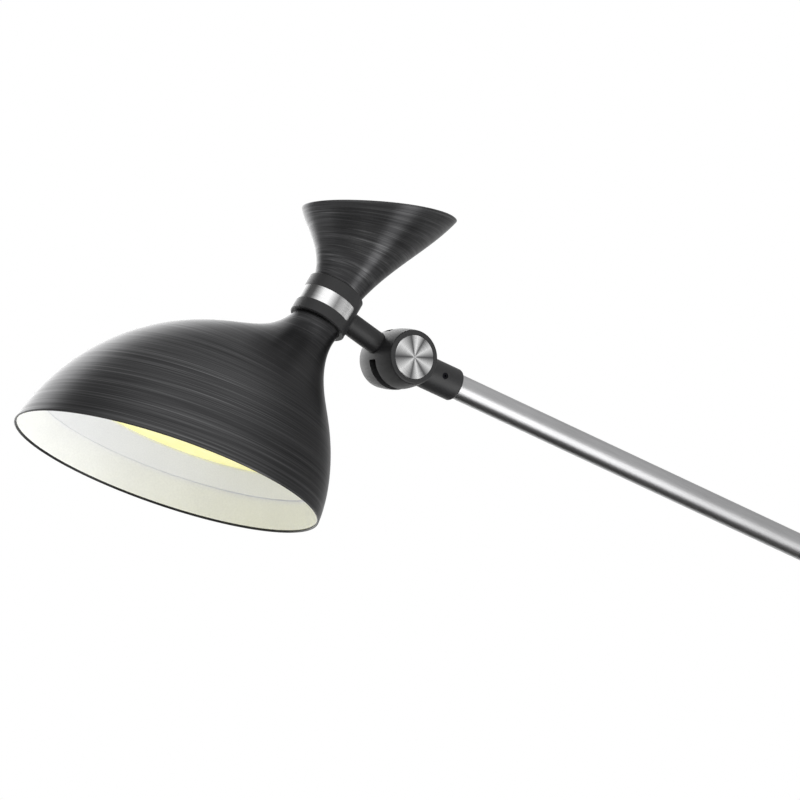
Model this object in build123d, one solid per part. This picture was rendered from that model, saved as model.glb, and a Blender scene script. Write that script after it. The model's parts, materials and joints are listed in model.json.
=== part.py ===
"""Adjustable arm floor lamp, modelled as the separate pieces that it is assembled from.

A round weighted base carries an upright mast. At its top an elbow swivels about the mast and
lifts a straight arm, and at the far end of the arm a second, identical hinge tilts the head. The head
is an hourglass of two skewed, spun shades that are clamped to either end of a short collar.

Frame: millimetres, +Z up, origin at the centre of the base's underside. The arm lies in the XZ plane
and reaches out towards -X. Both hinges turn about Y.
"""

import os
from math import asin, comb, cos, degrees, radians, sin, sqrt

from build123d import *

# ---------------------------------------------------------------- driving dimensions
# The whole lamp
elbow_height = 1190.0  # floor to the elbow's pivot
arm_reach = 560.0  # pivot to pivot along the arm
arm_rise = 19.7  # degrees that the arm climbs towards the head
stem_reach = 58.3  # head pivot to the collar's centre
stem_rise = 30.2  # degrees that the head's stem climbs away from the pivot
collar_lean = 33.0  # degrees that the collar's axis leans back from upright

# Fits
slide_gap = 0.05  # radial gap of a shaft or tube in its bore
face_gap = 0.02  # gap where two faces would otherwise share a surface
sweep_gap = 0.3  # gap to a curved face that moves past

# Tubes and leads
arm_tube_r = 8.0
arm_tube_wall = 1.2
mast_r = 9.5
mast_wall = 1.5
lead_r = 2.4

# Hinge, used at the head and at the elbow
barrel_r = 18.5  # at the middle of its width
barrel_crown = 2.1  # how much smaller its radius is at its two faces
barrel_width = 37.4
barrel_round = 1.2
slot_width = 6.8
web_half_angle = 33.0  # half of the angle over which the yoke's two cheeks are joined
tongue_cover = 6.0  # from the tongue's edge to the barrel's surface
neck_overlap = 4.0  # how far the tongue's neck runs into the sleeve
pivot_r = 3.0
bolt_head_r = 5.0
bolt_head_height = 4.0
bolt_key_r = 2.5  # of the hexagonal socket in the bolt's head
bolt_key_depth = 2.4
lock_nut_height = 4.5
spring_washer_rise = 0.7  # of its cone
spring_washer_thickness = 0.9
bolt_pocket_r = 6.4
bolt_pocket_depth = 9.0  # from the cheek's face
friction_washer_r = 9.0
friction_washer = 0.6
cap_border = 2.9  # the ring of barrel that is left round each cap
cap_thickness = 1.2
cap_seat = 1.0  # depth of the recess that the cap sits in
cap_bevel = 0.35
sleeve_wall = 2.2
sleeve_round = 1.9
sleeve_end = 43.0  # from the pivot to the sleeve's open end
tube_socket = 17.0  # how far a tube goes into its sleeve
neck_half_width = 7.5
edge_round = 1.2
set_screw_r = 2.0
set_screw_length = 4.0
set_screw_inset = 14.0  # from the sleeve's open end
stem_r = 7.05
spigot_r = 4.0
spigot_depth = 4.8
spigot_reach = 1.5  # how far the collar's end of it goes past the collar's middle wall
lead_way_r = 1.6

# Collar
collar_r = 18.0
collar_height = 25.6
collar_bevel = 0.6
band_height = 9.3
band_drop = 0.7  # of the band's middle below the collar's
band_depth = 0.8
band_gap_half_angle = 55.0  # the band stops this far either side of the stem
band_corner = 2.6
nipple_r = 5.0
nipple_bore_r = 3.4
nipple_tail = 9.0  # how far the nipple stands out of the collar at each end
nipple_nut_flats = 14.0
nipple_nut_height = 3.0
spacer_wall = 3.0
finial_r = 9.0
finial_round = 4.0

# Shades: front and back outlines in the head's own frame, as control points of Bezier curves, from
# the collar's end to the rim. The front is the side away from the arm.
shade_front = [
    (-15.2, -12.8),
    (-31.1, -57.9),
    (-76.5, -33.6),
    (-110.8, -99.4),
    (-123.0, -117.4),
    (-127.0, -164.6),
]
shade_back = [(15.2, -12.8), (6.5, -37.9), (39.5, -75.2), (18.6, -55.0), (52.3, -85.6), (56.3, -125.5)]
cone_front = [(-15.6, 12.8), (-20.5, 33.9), (-40.8, 41.0), (-42.7, 47.0)]
cone_back = [(15.6, 12.8), (21.9, 44.3), (36.2, 65.8), (41.3, 90.4)]
shade_wall = 1.2
shade_flange = 2.0  # thickness of the flange at the neck
shade_sections = 12
cone_sections = 7

# Light module, measured from the plane of the lower shade's rim
bezel_height = 20.0
bezel_wall = 1.2
lens_height = 33.0
lens_r = 73.0  # of the opening that the lens shows in
lens_shift = 12.0  # towards the arm, from the middle of the rim
lens_thickness = 2.0
lens_lip = 0.8  # how far the bezel's inner lip covers the lens
chip_size = 3.0
chip_thickness = 0.8
chip_rings = ((24.0, 10), (46.0, 20), (64.0, 28))  # radius and count of each ring of LEDs
board_gap = 3.0  # lens to board
board_thickness = 1.6
board_r = 70.0
sink_thickness = 2.0
fin_count = 9
fin_thickness = 1.6
fin_height = 9.0
fin_length = 56.0
bracket_width = 14.0
bracket_thickness = 2.0
bracket_top = (-11.0, 9.3)  # X of the two ends of the bracket's flat top, round the nipple
bracket_drop = 5.0  # from the shade's flange to the middle of the bracket's top
module_screw_r = 1.5
module_screw_length = 5.0
module_screw_head_r = 3.0
module_screw_head = 2.0

# Swivel under the elbow
swivel_stem = 18.0  # bare stem between the barrel and the bush's flange
swivel_pin_r = 5.5
swivel_pin_length = 24.0
bush_wall = 1.3
bush_flange_r = 10.0
bush_flange = 1.4
bush_length = 16.0
clip_thickness = 1.0
clip_depth = 1.0
swivel_half_turn = 150.0  # degrees either way before the stop screw meets the groove's end
stop_screw_r = 1.5
stop_screw_drop = 8.0  # below the ferrule's top
stop_groove_depth = 1.1
ferrule_wall = 3.0
top_ferrule_length = 74.0
ferrule_socket = 28.0  # how far the mast goes into the ferrule

# Push switch in the top ferrule
button_r = 4.0
button_proud = 1.6
button_travel = 1.0
button_flange_r = 4.8
button_flange = 1.0
button_drop = 34.0  # below the ferrule's top
carrier_height = 16.0
carrier_way_r = 3.2

# Base
base_r = 140.0
base_height = 22.0
base_wall = 1.2
base_edge_round = 5.0
weight_gap = 1.0
weight_thickness = 13.0
weight_boss_r = 24.0  # of the boss that carries the cover
pad_thickness = 2.0
pad_inset = 6.0
base_ferrule_height = 34.0
base_screw_rise = 20.4  # the ferrule's set screw above the base
stud_r = 6.0
stud_grip = 26.0  # length of stud inside the mast
nut_flats = 19.0
nut_height = 8.0
nut_pocket_r = 16.0
lock_washer_r = 13.0
lock_washer = 1.6
driver_size = (92.0, 40.0, 9.5)
driver_offset = 78.0
gland_bore_r = 3.6
gland_r = 5.2
gland_flange_r = 7.2
gland_flange = 1.8
gland_length = 14.0
coupler_length = 60.0
coupler_wall = 1.6

FLOOR_UP = (Align.CENTER, Align.CENTER, Align.MIN)
FLOOR_DOWN = (Align.CENTER, Align.CENTER, Align.MAX)
ALONG_Y = Rot(-90, 0, 0)  # turns a solid's own Z to +Y
ALONG_X = Rot(0, 90, 0)  # turns a solid's own Z to +X

# ---------------------------------------------------------------- sizes that follow from the fits
barrel_face_r = barrel_r - barrel_crown
cap_r = barrel_face_r - cap_border
tongue_r = barrel_r - tongue_cover
sleeve_r = arm_tube_r + sleeve_wall
ferrule_r = mast_r + ferrule_wall

# ---------------------------------------------------------------- places of the assembly
elbow = Vector(0, 0, elbow_height)
head_pivot = elbow + Vector(-cos(radians(arm_rise)), 0, sin(radians(arm_rise))) * arm_reach
collar_centre = head_pivot + Vector(-cos(radians(stem_rise)), 0, sin(radians(stem_rise))) * stem_reach

# Each place puts a local +X along the part that leaves the pivot.
elbow_arm_place = Pos(elbow) * Rot(0, 180 + arm_rise, 0)
head_arm_place = Pos(head_pivot) * Rot(0, arm_rise, 0)
head_stem_place = Pos(head_pivot) * Rot(0, 180 + stem_rise, 0)
elbow_stem_place = Pos(elbow) * Rot(0, 90, 0)
head_place = Pos(collar_centre) * Rot(0, collar_lean, 0)


def cylinder_between(radius, low, high):
    """A cylinder along Z from low to high."""
    return Pos(0, 0, low) * Cylinder(radius, high - low, align=FLOOR_UP)


def tube_between(radius, bore, low, high):
    """A tube along Z from low to high."""
    overrun = 1.0
    return cylinder_between(radius, low, high) - cylinder_between(bore, low - overrun, high + overrun)


def sector(radius, half_angle, thickness):
    """A wedge about the Y axis, open towards +X."""
    reach = radius / cos(radians(half_angle))
    across = reach * sin(radians(half_angle))
    along = reach * cos(radians(half_angle))
    corners = [(0, 0), (along, across), (along, -across)]
    face = make_face(Polyline(*corners, close=True))
    return Pos(0, thickness / 2, 0) * Rot(90, 0, 0) * extrude(face, thickness)


def hex_nut(flats, bore, height):
    """A hexagonal nut on the XY plane."""
    body = extrude(RegularPolygon(flats / 2, 6, major_radius=False), height)
    return body - Cylinder(bore, height * 3)


# ---------------------------------------------------------------- hinge pieces
def make_barrel(gap):
    """The crowned barrel along Y, larger all round by gap."""
    half = barrel_width / 2 + gap
    face = barrel_face_r + gap
    side = ThreePointArc((face, -half), (barrel_r + gap, 0), (face, half))
    outline = side + Polyline((face, half), (0, half), (0, -half), (face, -half))
    return ALONG_Y * revolve(Plane.XZ * make_face(outline), Axis.Z)


def make_yoke():
    """The slotted barrel, with its web towards +X and its axis along Y."""
    barrel = make_barrel(0)
    rims = barrel.edges().filter_by(GeomType.CIRCLE).sort_by(SortBy.LENGTH)[-2:]
    barrel = fillet(rims, barrel_round)
    open_slot = ALONG_Y * Cylinder(barrel_r * 2, slot_width)
    open_slot -= sector(barrel_r * 2.5, web_half_angle, slot_width * 2)
    tongue_room = ALONG_Y * Cylinder(tongue_r + sweep_gap, slot_width)
    body = barrel - open_slot - tongue_room - ALONG_Y * Cylinder(pivot_r + slide_gap, barrel_width * 2)
    for side in (1, -1):
        face = side * barrel_width / 2
        body -= Pos(0, face, 0) * ALONG_Y * Cylinder(cap_r + slide_gap, cap_seat * 2)
        body -= Pos(0, face, 0) * ALONG_Y * Cylinder(bolt_pocket_r, bolt_pocket_depth * 2)
    spigot_hole = ALONG_X * cylinder_between(spigot_r + slide_gap, tongue_r, barrel_r * 2)
    return body - spigot_hole


def make_knuckle():
    """The tongue that fits the yoke's slot, with the sleeve for a tube along +X."""
    tongue_thickness = slot_width - 2 * (friction_washer + 2 * face_gap)
    tongue = ALONG_Y * Cylinder(tongue_r, tongue_thickness)
    neck_length = barrel_r + neck_overlap
    neck = Pos(neck_length / 2, 0, 0) * Box(neck_length, tongue_thickness, 2 * neck_half_width)
    sleeve = ALONG_X * cylinder_between(sleeve_r, 0, sleeve_end)
    open_edge = sleeve.edges().filter_by(GeomType.CIRCLE).sort_by(Axis.X)[-1]
    sleeve = fillet(open_edge, min(sleeve_round, 0.9 * (sleeve_wall - slide_gap)))
    saddle = ALONG_Y * Cylinder(barrel_r + sweep_gap, sleeve_r * 4)
    body = tongue + neck + (sleeve - saddle)
    body -= ALONG_X * cylinder_between(arm_tube_r + slide_gap, sleeve_end - tube_socket, sleeve_end * 2)
    body -= ALONG_X * cylinder_between(lead_way_r, tongue_r - 2, sleeve_end)
    body -= ALONG_Y * Cylinder(pivot_r + slide_gap, barrel_width)
    return body - make_set_screw_hole()


def make_set_screw_hole():
    """The hole for the set screw, on the sleeve's -Y side."""
    return Pos(sleeve_end - set_screw_inset, 0, 0) * ALONG_Y * cylinder_between(
        set_screw_r + slide_gap, -sleeve_r * 2, 0
    )


def make_set_screw():
    """A headless screw with a hexagonal socket, seated on the tube through the sleeve's -Y side."""
    outer = sleeve_r - 0.5
    inner = arm_tube_r + face_gap
    length = min(set_screw_length, outer - inner)
    socket = Pos(0, 0, length / 2) * extrude(RegularPolygon(set_screw_r * 0.5, 6), length)
    screw = Cylinder(set_screw_r, length, align=FLOOR_UP) - socket
    return Pos(sleeve_end - set_screw_inset, -inner, 0) * Rot(90, 0, 0) * screw


def make_friction_washers():
    """The two washers, one on each side of the tongue."""
    inner_face = slot_width / 2 - face_gap - friction_washer
    washer = tube_between(friction_washer_r, pivot_r + slide_gap, inner_face, inner_face + friction_washer)
    return [ALONG_Y * washer, Rot(0, 0, 180) * ALONG_Y * washer]


def make_pivot_bolt():
    """The bolt through both cheeks, its head under the cap on the -Y side."""
    head_low = -barrel_width / 2 + bolt_pocket_depth - bolt_head_height
    shank_end = barrel_width / 2 - cap_seat - 1.0
    shank = cylinder_between(pivot_r, head_low, shank_end)
    head = cylinder_between(bolt_head_r, head_low, head_low + bolt_head_height - face_gap)
    key = Pos(0, 0, head_low) * extrude(RegularPolygon(bolt_key_r, 6), bolt_key_depth)
    return ALONG_Y * (shank + head - key)


def make_spring_washer():
    """The coned spring washer under the lock nut."""
    floor = barrel_width / 2 - bolt_pocket_depth + face_gap
    outline = Polyline(
        (pivot_r + slide_gap, floor + spring_washer_rise),
        (bolt_head_r + 1.0, floor),
        (bolt_head_r + 1.0, floor + spring_washer_thickness),
        (pivot_r + slide_gap, floor + spring_washer_rise + spring_washer_thickness),
        close=True,
    )
    ring = revolve(Plane.XZ * make_face(outline), Axis.Z)
    return ALONG_Y * ring


def make_lock_nut():
    """The lock nut on the bolt's far end, against the spring washer."""
    seat = barrel_width / 2 - bolt_pocket_depth + spring_washer_rise + spring_washer_thickness + slide_gap
    return ALONG_Y * Pos(0, 0, seat + face_gap) * hex_nut(2 * bolt_head_r, pivot_r + slide_gap, lock_nut_height)


def make_caps():
    """The turned covers in the barrel's two faces."""
    low = barrel_width / 2 - cap_seat + face_gap
    disc = cylinder_between(cap_r, low, low + cap_thickness)
    disc = chamfer(disc.edges().sort_by(Axis.Z)[-1], cap_bevel)
    return [ALONG_Y * disc, Rot(0, 0, 180) * ALONG_Y * disc]


def make_head_stem():
    """The stem from the head's yoke to the collar, along +X from the pivot."""
    body = ALONG_X * cylinder_between(stem_r, 0, stem_reach)
    body -= make_barrel(face_gap)
    lean = collar_lean - stem_rise
    collar_room = Pos(stem_reach, 0, 0) * Rot(0, lean, 0) * Cylinder(collar_r + face_gap, collar_height * 2)
    body -= collar_room
    spigot_end = stem_reach - collar_r + spigot_depth + spigot_reach
    body += ALONG_X * cylinder_between(spigot_r, barrel_r - spigot_depth, spigot_end)
    return body - ALONG_X * Cylinder(lead_way_r, stem_reach * 3)


def make_elbow_stem():
    """The stem from the elbow's yoke down into the swivel, along +X from the pivot."""
    shoulder = barrel_r + swivel_stem
    body = ALONG_X * cylinder_between(stem_r, 0, shoulder)
    body -= make_barrel(face_gap)
    body += ALONG_X * cylinder_between(spigot_r, barrel_r - spigot_depth, shoulder)
    body += ALONG_X * cylinder_between(swivel_pin_r, shoulder - 1, shoulder + swivel_pin_length)
    groove_low = shoulder + bush_flange + bush_length + face_gap
    groove = tube_between(swivel_pin_r * 2, swivel_pin_r - clip_depth, groove_low, groove_low + clip_thickness)
    body -= ALONG_X * Cylinder(lead_way_r, elbow_height)
    return body - ALONG_X * groove - make_stop_groove(shoulder)


def make_stop_groove(shoulder):
    """The groove part of the way round the swivel pin that the stop screw runs in, on the +Y side."""
    middle = shoulder + bush_flange + face_gap + stop_screw_drop
    half = stop_screw_r + sweep_gap
    floor = swivel_pin_r - stop_groove_depth
    groove = ALONG_X * tube_between(swivel_pin_r * 2, floor, middle - half, middle + half)
    web_half_turn = 180 - swivel_half_turn - degrees(asin(half / floor))
    web = Rot(0, 0, -90) * sector(swivel_pin_r * 3, web_half_turn, half * 4)
    return groove - Pos(middle, 0, 0) * Rot(0, 90, 0) * Rot(90, 0, 0) * web


def make_stop_screw():
    """The headless screw through the ferrule and the bush into the swivel pin's groove."""
    tip = swivel_pin_r - stop_groove_depth + sweep_gap
    length = ferrule_r - 0.5 - tip
    socket = Pos(0, 0, length - 1.5) * extrude(RegularPolygon(stop_screw_r * 0.5, 6), length)
    screw = Cylinder(stop_screw_r, length, align=FLOOR_UP) - socket
    return Pos(0, tip, ferrule_top - stop_screw_drop) * ALONG_Y * screw


def stop_screw_hole():
    """The stop screw's hole through the ferrule and the bush, on the +Y side."""
    hole = cylinder_between(stop_screw_r + slide_gap, swivel_pin_r - stop_groove_depth, ferrule_r * 2)
    return Pos(0, 0, ferrule_top - stop_screw_drop) * ALONG_Y * hole


def make_swivel_clip():
    """The retaining ring in the swivel pin's groove."""
    low = barrel_r + swivel_stem + bush_flange + bush_length + 2 * face_gap
    high = low + clip_thickness - 2 * face_gap
    ring = tube_between(swivel_pin_r + bush_wall, swivel_pin_r - clip_depth + face_gap, low, high)
    mouth = Pos(swivel_pin_r, 0, low) * Box(swivel_pin_r * 2, swivel_pin_r * 0.9, clip_thickness * 4)
    return ALONG_X * (ring - mouth)


# ---------------------------------------------------------------- shades
def bezier(points, t):
    """The point of a Bezier curve at t, in the XZ plane of the head's own frame."""
    n = len(points) - 1
    weights = [comb(n, i) * (1 - t) ** (n - i) * t**i for i in range(n + 1)]
    x = sum(w * p[0] for w, p in zip(weights, points))
    z = sum(w * p[1] for w, p in zip(weights, points))
    return Vector(x, 0, z)


def inset(points, t, wall, inward):
    """The same curve moved wall to one side: inward is +1 or -1."""
    step = 1e-3
    along = (bezier(points, t + step) - bezier(points, t - step)).normalized()
    return bezier(points, t) + Vector(along.Z, 0, -along.X) * (wall * inward)


def ring_face(front, back):
    """The round section whose diameter runs from front to back."""
    across = back - front
    plane = Plane(origin=(front + back) / 2, x_dir=across, z_dir=across.cross(Vector(0, 1, 0)))
    return plane * Circle(across.length / 2)


def make_shade(front, back, count, inward, neck_at, neck_r):
    """A shell between two outlines, with a flange at its neck bored for the nipple."""
    steps = [i / (count - 1) for i in range(count)]
    outer = loft([ring_face(bezier(front, t), bezier(back, t)) for t in steps])
    speed = (len(front) - 1) * abs(front[1][1] - front[0][1] + back[1][1] - back[0][1]) / 2
    first = shade_flange / speed
    past_rim = 1.04
    inner_steps = [first + (past_rim - first) * i / (count - 1) for i in range(count)]
    inner = loft(
        [
            ring_face(inset(front, t, shade_wall, inward), inset(back, t, shade_wall, -inward))
            for t in inner_steps
        ]
    )
    bore = Pos(0, 0, neck_at) * Cylinder(neck_r, shade_flange * 8)
    return outer - inner - bore


def rim_frame(front, back):
    """The plane of a shade's rim: its Z points back into the shade and its X towards the arm."""
    low, high = bezier(front, 1), bezier(back, 1)
    across = high - low
    inward = across.cross(Vector(0, 1, 0))
    if inward.dot(bezier(front, 0) - low) < 0:
        inward = inward * -1
    return Plane(origin=(low + high) / 2, x_dir=across, z_dir=inward)


# ---------------------------------------------------------------- light module, on the rim's plane
def wall_section(height):
    """Middle and radius of the lower shade's bore at this height above its rim."""
    frame = rim_frame(shade_front, shade_back)
    reach = []
    for points, inward in ((shade_front, -1), (shade_back, 1)):
        low, high = 0.5, 1.0
        for _ in range(40):
            middle = (low + high) / 2
            local = frame.to_local_coords(inset(points, middle, shade_wall, inward))
            low, high = (middle, high) if local.Z > height else (low, middle)
        reach.append(frame.to_local_coords(inset(points, low, shade_wall, inward)).X)
    return (reach[0] + reach[1]) / 2, (reach[1] - reach[0]) / 2


def make_bezel():
    """The white reflector ring between the shade's wall and the lens, with a skirt round the module."""
    middle, radius = wall_section(bezel_height)
    lens_place = Pos(lens_shift, 0, lens_height - bezel_wall)
    rim_place = Pos(middle, 0, bezel_height)
    rim_r = radius - sweep_gap
    body = loft([rim_place * Circle(rim_r), lens_place * Circle(skirt_r + bezel_wall)])
    body -= loft([rim_place * Circle(rim_r - bezel_wall), lens_place * Circle(lens_r)])
    shelf = tube_between(skirt_r + bezel_wall, lens_r, lens_height - bezel_wall, lens_height)
    skirt = tube_between(skirt_r + bezel_wall, skirt_r, lens_height - bezel_wall, sink_high)
    return body + Pos(lens_shift, 0, 0) * (shelf + skirt)


def module_disc(radius, low, high):
    """A disc of the light module, centred on the lens."""
    return Pos(lens_shift, 0, 0) * cylinder_between(radius, low, high)


skirt_r = lens_r + lens_lip + slide_gap  # bore of the skirt that the lens and the heat sink fit in
board_low = lens_height + lens_thickness + board_gap
sink_low = board_low + board_thickness + face_gap
sink_high = sink_low + sink_thickness
bracket_feet = (lens_shift - 16.0, lens_shift + 34.0)  # X of the bracket's two feet on the heat sink
bracket_top_z = -collar_height / 2 - shade_flange - bracket_drop  # in the head's own frame


def make_chips():
    """The LEDs, in rings on the board."""
    chips = []
    for radius, count in chip_rings:
        for i in range(count):
            angle = 360 * i / count
            place = Pos(lens_shift, 0, board_low - face_gap) * Rot(0, 0, angle) * Pos(radius, 0, 0)
            chips.append(place * Box(chip_size, chip_size, chip_thickness, align=FLOOR_DOWN))
    return chips


def make_heat_sink():
    """The plate behind the board, with straight fins beside the bracket's feet."""
    plate = module_disc(skirt_r - slide_gap, sink_low, sink_high)
    plate -= Pos(lens_shift, 0, 0) * Cylinder(lead_way_r * 2, sink_high * 3)
    clear = bracket_width / 2 + 3.0
    pitch = 5.0
    for side in (1, -1):
        for i in range(fin_count // 2):
            y = side * (clear + pitch * i)
            fin = Box(fin_length - 3.0 * i, fin_thickness, fin_height, align=FLOOR_UP)
            plate += Pos(lens_shift, y, sink_high) * fin
    return plate


def make_bracket(frame):
    """The strap from the nipple down to the heat sink, in the head's own frame."""
    half = bracket_thickness / 2
    top_at = bracket_top_z
    feet = [frame.from_local_coords(Vector(x, 0, sink_high + half + face_gap)) for x in bracket_feet]
    along = frame.x_dir
    shoe = 9.0
    path = [
        feet[0] - along * shoe,
        feet[0] + along * shoe / 2,
        Vector(bracket_top[0], 0, top_at),
        Vector(bracket_top[1], 0, top_at),
        feet[1] - along * shoe / 2,
        feet[1] + along * shoe,
    ]
    flat = [(p.X, p.Z) for p in path]
    strap = extrude(trace(Polyline(*flat), bracket_thickness), bracket_width)
    strap = Pos(0, bracket_width / 2, 0) * Rot(90, 0, 0) * strap
    return strap - Pos(0, 0, top_at) * Cylinder(nipple_r + slide_gap, bracket_thickness * 4)


def make_module_screws():
    """The screws through the bracket's feet into the heat sink, on the rim's plane."""
    seat = sink_high + bracket_thickness + 2 * face_gap
    shank = cylinder_between(module_screw_r, seat - module_screw_length, seat + 0.5)
    head = cylinder_between(module_screw_head_r, seat, seat + module_screw_head)
    head = fillet(head.edges().sort_by(Axis.Z)[-1], module_screw_head * 0.4)
    screw = shank + head
    return [Pos(x, 0, 0) * screw for x in module_screw_places()]


def module_screw_places():
    """X of the module's screws on the rim's plane."""
    return [bracket_feet[0] - 4.0, bracket_feet[1] + 4.0]


# ---------------------------------------------------------------- collar pieces, in the head's own frame
stem_lean = collar_lean - stem_rise
stem_axis = Rot(0, 90 - stem_lean, 0)  # turns a solid's own Z along the stem, from the collar's centre


def make_collar():
    """The collar that the stem, the nipple and both shades meet in."""
    body = Cylinder(collar_r, collar_height)
    body = chamfer(body.edges().filter_by(GeomType.CIRCLE), collar_bevel)
    body -= band_ring(collar_r + band_depth, collar_r - band_depth, 0)
    body -= Cylinder(nipple_r + slide_gap, collar_height * 2)
    return body - stem_axis * cylinder_between(spigot_r + slide_gap, 0, collar_r * 2)


def band_ring(outer, inner, gap):
    """The ring that the inlay fills, open towards the stem with rounded corners, smaller by gap."""
    half = band_height / 2 - gap
    ring = tube_between(outer, inner + gap, -half, half)
    margin = degrees(2 * gap / collar_r)
    ring -= Rot(90, 0, 0) * sector(collar_r * 3, band_gap_half_angle + margin, collar_height * 2)
    lines = ring.edges().filter_by(GeomType.LINE)
    corners = [edge for edge in lines if abs(abs(edge.center().Z) - half) < face_gap]
    return Pos(0, 0, -band_drop) * fillet(corners, band_corner)


def make_band():
    """The bright inlay round the collar."""
    return band_ring(collar_r, collar_r - band_depth, face_gap)


def make_nipple():
    """The threaded tube through the collar."""
    reach = collar_height / 2 + nipple_tail
    return tube_between(nipple_r, nipple_bore_r, -reach, reach)


def make_nipple_nut():
    """The nut that holds the lower shade and the bracket."""
    top = bracket_top_z - bracket_thickness / 2 - face_gap
    flats_on_x = Rot(0, 0, 30)
    nut = hex_nut(nipple_nut_flats, nipple_r + slide_gap, nipple_nut_height)
    return Pos(0, 0, top - nipple_nut_height) * flats_on_x * nut


def make_spacer():
    """The spacer between the shade's flange and the bracket."""
    high = -collar_height / 2 - flange_reach(shade_front, shade_back) - face_gap
    low = bracket_top_z + bracket_thickness / 2 + face_gap
    return tube_between(nipple_r + spacer_wall, nipple_r + slide_gap, low, high)


def flange_reach(front, back):
    """How far the flange at a shade's neck reaches from the collar, at its thickest."""
    rise = [abs(front[1][1] - front[0][1]), abs(back[1][1] - back[0][1])]
    return shade_flange * max(rise) / (sum(rise) / 2) + 0.2


def make_finial():
    """The domed nut that holds the upper cone."""
    low = collar_height / 2 + flange_reach(cone_front, cone_back) + face_gap
    body = cylinder_between(finial_r, low, low + nipple_tail)
    body = fillet(body.edges().sort_by(Axis.Z)[-1], finial_round)
    bore_end = collar_height / 2 + nipple_tail + face_gap
    return body - cylinder_between(nipple_r + slide_gap, low - 1, bore_end)


# ---------------------------------------------------------------- mast pieces
ferrule_top = elbow_height - barrel_r - swivel_stem - bush_flange - face_gap
mast_top = ferrule_top - top_ferrule_length + ferrule_socket
pad_top = pad_thickness
base_top = base_height
mast_foot = base_top + 4.0
mast_join = (mast_foot + mast_top) / 2
ferrule_bore_r = mast_r + slide_gap
bush_r = swivel_pin_r + slide_gap + bush_wall
button_z = ferrule_top - button_drop


def make_top_ferrule():
    """The sleeve on the mast's top that holds the swivel's bush and the switch."""
    low = ferrule_top - top_ferrule_length
    body = cylinder_between(ferrule_r, low, ferrule_top)
    body = fillet(body.edges().filter_by(GeomType.CIRCLE), edge_round)
    body -= cylinder_between(ferrule_bore_r, low - 1, ferrule_top - bush_length)
    body -= cylinder_between(bush_r + slide_gap, low, ferrule_top + 1)
    window = Cylinder(button_r + sweep_gap, ferrule_r * 2, align=FLOOR_UP)
    body -= Pos(0, 0, button_z) * Rot(90, 0, 0) * window
    return body - stop_screw_hole() - mast_set_screw_hole(low + ferrule_socket / 2)


def mast_set_screw_hole(z):
    """A set screw's hole through a ferrule on the +X side."""
    return Pos(0, 0, z) * ALONG_X * cylinder_between(set_screw_r + slide_gap, 0, ferrule_r * 2)


def mast_set_screw(z):
    """A set screw that seats on the mast through a ferrule's +X side."""
    inner = mast_r + face_gap
    length = ferrule_r - 0.5 - inner
    socket = Pos(0, 0, length / 2) * extrude(RegularPolygon(set_screw_r * 0.5, 6), length)
    screw = Cylinder(set_screw_r, length, align=FLOOR_UP) - socket
    return Pos(inner, 0, z) * ALONG_X * screw


def make_bush():
    """The flanged bush that the elbow swivels in."""
    bore = swivel_pin_r + slide_gap
    body = tube_between(bush_r, bore, ferrule_top - bush_length, ferrule_top + face_gap)
    flange = tube_between(bush_flange_r, bore, ferrule_top + face_gap, ferrule_top + bush_flange)
    return body + flange - stop_screw_hole()


def make_button():
    """The push button, its face towards -Y, at rest."""
    back = ferrule_bore_r - button_flange - button_travel - 0.2
    front = ferrule_r + button_proud
    stem = cylinder_between(button_r, back, front)
    stem = fillet(stem.edges().sort_by(Axis.Z)[-1], 0.8)
    side = sqrt(ferrule_bore_r**2 - button_flange_r**2)
    flange_front = side - 0.2
    flange = cylinder_between(button_flange_r, back, flange_front)
    return Pos(0, 0, button_z) * Rot(90, 0, 0) * (stem + flange)


def make_switch_carrier():
    """The carrier behind the button that holds the switch, with a way past it for the lead."""
    half = carrier_height / 2
    body = cylinder_between(ferrule_bore_r - slide_gap, button_z - half, button_z + half)
    front = ferrule_bore_r - button_flange - 2 * button_travel - 0.6
    reach = ferrule_r * 2
    body -= Pos(0, -front - reach / 2, button_z) * Box(reach * 2, reach, carrier_height * 2)
    return body - Pos(0, ferrule_bore_r / 2, 0) * Cylinder(carrier_way_r, elbow_height * 3)


def make_mast_tube(low, high):
    """One length of the mast."""
    return tube_between(mast_r, mast_r - mast_wall, low, high)


def make_coupler():
    """The sleeve inside the mast that joins its two lengths."""
    radius = mast_r - mast_wall - slide_gap
    half = coupler_length / 2
    return tube_between(radius, radius - coupler_wall, mast_join - half, mast_join + half)


# ---------------------------------------------------------------- base pieces
weight_low = pad_top + face_gap
weight_high = weight_low + weight_thickness
nut_ceiling = weight_low + nut_height + lock_washer + 1.0  # of the pocket under the weight
cover_low = pad_top


def make_cover():
    """The pressed cover, open underneath."""
    body = cylinder_between(base_r, cover_low, base_top)
    body = fillet(body.edges().sort_by(Axis.Z)[-1], base_edge_round)
    inside = cylinder_between(base_r - base_wall, cover_low - 1, base_top - base_wall)
    inside = fillet(inside.edges().sort_by(Axis.Z)[-1], base_edge_round - base_wall)
    body -= inside
    body -= Pos(0, 0, base_top) * Cylinder(stud_r + slide_gap, base_wall * 6)
    return body - gland_hole()


def gland_hole():
    """The way out for the supply lead, through the back of the base."""
    return Pos(0, 0, gland_z()) * ALONG_X * cylinder_between(gland_r + slide_gap, base_r - 20.0, base_r + 5.0)


def gland_z():
    """The height of the supply lead's outlet."""
    return weight_low + gland_flange_r + 0.4


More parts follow.
